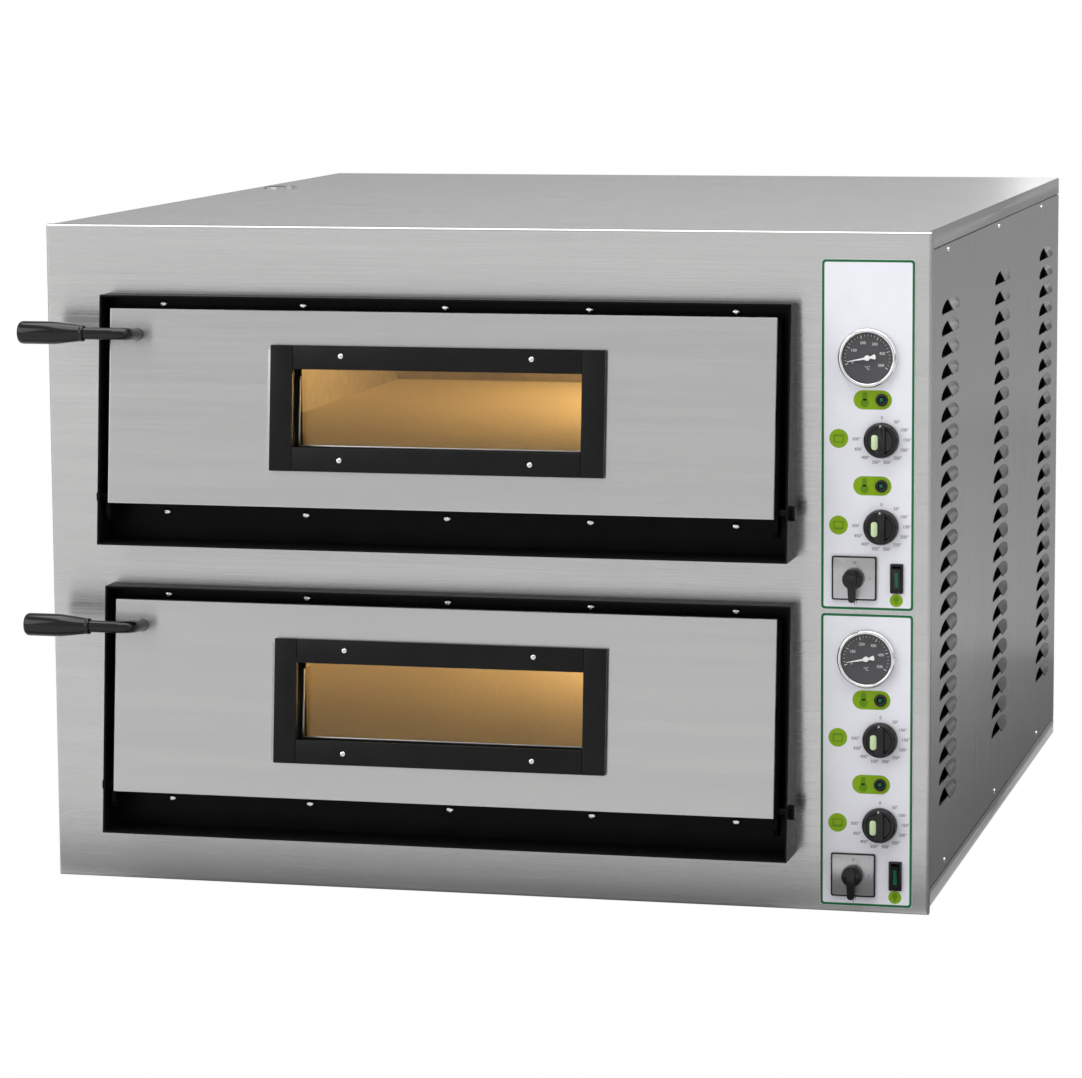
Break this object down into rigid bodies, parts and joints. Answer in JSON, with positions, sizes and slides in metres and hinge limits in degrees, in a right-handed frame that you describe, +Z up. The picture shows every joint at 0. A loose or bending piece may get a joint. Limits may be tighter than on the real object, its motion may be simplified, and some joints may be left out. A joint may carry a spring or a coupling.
{
  "type": "countertop pizza oven",
  "caption": "Double-deck electric pizza oven in a stainless steel box, with drop-down window doors on the left and a control column with thermometers and thermostats on the right.",
  "frame": {"origin": "centre of the body's footprint, on the surface that the oven stands on", "axes": "+Z up, +Y from the doors to the back, +X to the right as seen from the front"},
  "size_m": [1.0177, 1.2677, 0.7525],
  "materials": {
    "brushed_steel": "satin",
    "door_steel": "satin",
    "bright_steel": "polished",
    "aluminised_steel": "satin",
    "black_enamel": "satin",
    "black_plastic": "gloss",
    "panel_film": "satin",
    "oven_stone": "matte",
    "mineral_wool": "matte",
    "element_sheath": "matte",
    "dial": "satin",
    "needle_white": "satin",
    "window_glass": "gloss",
    "lamp_glass": "gloss",
    "green_lens": "gloss"
  },
  "bodies": {
    "root": {"fascia": "brushed_steel", "top_cover": "brushed_steel", "base_pan": "brushed_steel", "side_panel_right": "brushed_steel", "side_panel_left": "brushed_steel", "back_panel": "aluminised_steel", "control_bay_wall": "aluminised_steel", "insulation_wool": "mineral_wool", "vent_duct": "aluminised_steel", "cable_gland": "black_plastic", "chamber_upper": "aluminised_steel", "stone_floor_upper": "oven_stone", "heating_element_top_upper": "element_sheath", "heating_element_bottom_upper": "element_sheath", "oven_lamp_upper": "lamp_glass", "surround_upper": "black_enamel", "hinge_pin_left_upper": "black_enamel", "hinge_pin_right_upper": "black_enamel", "control_plate_upper": "panel_film", "thermometer_case_upper": "dial", "pilot_lamp_top_upper": "green_lens", "pilot_lamp_bottom_upper": "green_lens", "switch_plate_upper": "bright_steel", "rocker_bezel_upper": "black_plastic", "chamber_lower": "aluminised_steel", "stone_floor_lower": "oven_stone", "heating_element_top_lower": "element_sheath", "heating_element_bottom_lower": "element_sheath", "oven_lamp_lower": "lamp_glass", "surround_lower": "black_enamel", "hinge_pin_left_lower": "black_enamel", "hinge_pin_right_lower": "black_enamel", "control_plate_lower": "panel_film", "thermometer_case_lower": "dial", "pilot_lamp_top_lower": "green_lens", "pilot_lamp_bottom_lower": "green_lens", "switch_plate_lower": "bright_steel", "rocker_bezel_lower": "black_plastic"},
    "door_upper": {"door_box_upper": "black_enamel", "door_skin_upper": "door_steel", "window_frame_upper": "black_enamel", "window_glass_upper": "window_glass", "handle_rod_upper": "black_enamel", "handle_grip_upper": "black_plastic"},
    "knob_top_upper": {"thermostat_knob_top_upper": "black_plastic"},
    "knob_bottom_upper": {"thermostat_knob_bottom_upper": "black_plastic"},
    "lever_upper": {"switch_lever_upper": "black_plastic"},
    "rocker_upper": {"light_rocker_upper": "green_lens"},
    "needle_upper": {"thermometer_needle_upper": "needle_white"},
    "door_lower": {"door_box_lower": "black_enamel", "door_skin_lower": "door_steel", "window_frame_lower": "black_enamel", "window_glass_lower": "window_glass", "handle_rod_lower": "black_enamel", "handle_grip_lower": "black_plastic"},
    "knob_top_lower": {"thermostat_knob_top_lower": "black_plastic"},
    "knob_bottom_lower": {"thermostat_knob_bottom_lower": "black_plastic"},
    "lever_lower": {"switch_lever_lower": "black_plastic"},
    "rocker_lower": {"light_rocker_lower": "green_lens"},
    "needle_lower": {"thermometer_needle_lower": "needle_white"}
  },
  "joints": [
    {"name": "door_hinge_upper", "type": "hinge", "parent": "root", "child": "door_upper", "pos_m": [0, -0.607, 0.4455], "axis": [1, 0, 0], "range_deg": [0, 88]},
    {"name": "thermostat_top_upper", "type": "hinge", "parent": "root", "child": "knob_top_upper", "pos_m": [0.4514, -0.583, 0.5243], "axis": [0, 1, 0], "range_deg": [0, 290]},
    {"name": "thermostat_bottom_upper", "type": "hinge", "parent": "root", "child": "knob_bottom_upper", "pos_m": [0.4514, -0.583, 0.4293], "axis": [0, 1, 0], "range_deg": [0, 290]},
    {"name": "power_switch_upper", "type": "hinge", "parent": "root", "child": "lever_upper", "pos_m": [0.422, -0.583, 0.3725], "axis": [0, 1, 0], "range_deg": [0, 90]},
    {"name": "light_switch_upper", "type": "hinge", "parent": "root", "child": "rocker_upper", "pos_m": [0.4687, -0.5745, 0.373], "axis": [1, 0, 0], "range_deg": [-16, 0]},
    {"name": "thermometer_upper", "type": "hinge", "parent": "root", "child": "needle_upper", "pos_m": [0.4358, -0.581, 0.6138], "axis": [0, 1, 0], "range_deg": [0, 240]},
    {"name": "door_hinge_lower", "type": "hinge", "parent": "root", "child": "door_lower", "pos_m": [0, -0.607, 0.1155], "axis": [1, 0, 0], "range_deg": [0, 88]},
    {"name": "thermostat_top_lower", "type": "hinge", "parent": "root", "child": "knob_top_lower", "pos_m": [0.4514, -0.583, 0.1943], "axis": [0, 1, 0], "range_deg": [0, 290]},
    {"name": "thermostat_bottom_lower", "type": "hinge", "parent": "root", "child": "knob_bottom_lower", "pos_m": [0.4514, -0.583, 0.0993], "axis": [0, 1, 0], "range_deg": [0, 290]},
    {"name": "power_switch_lower", "type": "hinge", "parent": "root", "child": "lever_lower", "pos_m": [0.422, -0.583, 0.0425], "axis": [0, 1, 0], "range_deg": [0, 90]},
    {"name": "light_switch_lower", "type": "hinge", "parent": "root", "child": "rocker_lower", "pos_m": [0.4687, -0.5745, 0.043], "axis": [1, 0, 0], "range_deg": [-16, 0]},
    {"name": "thermometer_lower", "type": "hinge", "parent": "root", "child": "needle_lower", "pos_m": [0.4358, -0.581, 0.2838], "axis": [0, 1, 0], "range_deg": [0, 240]}
  ]
}
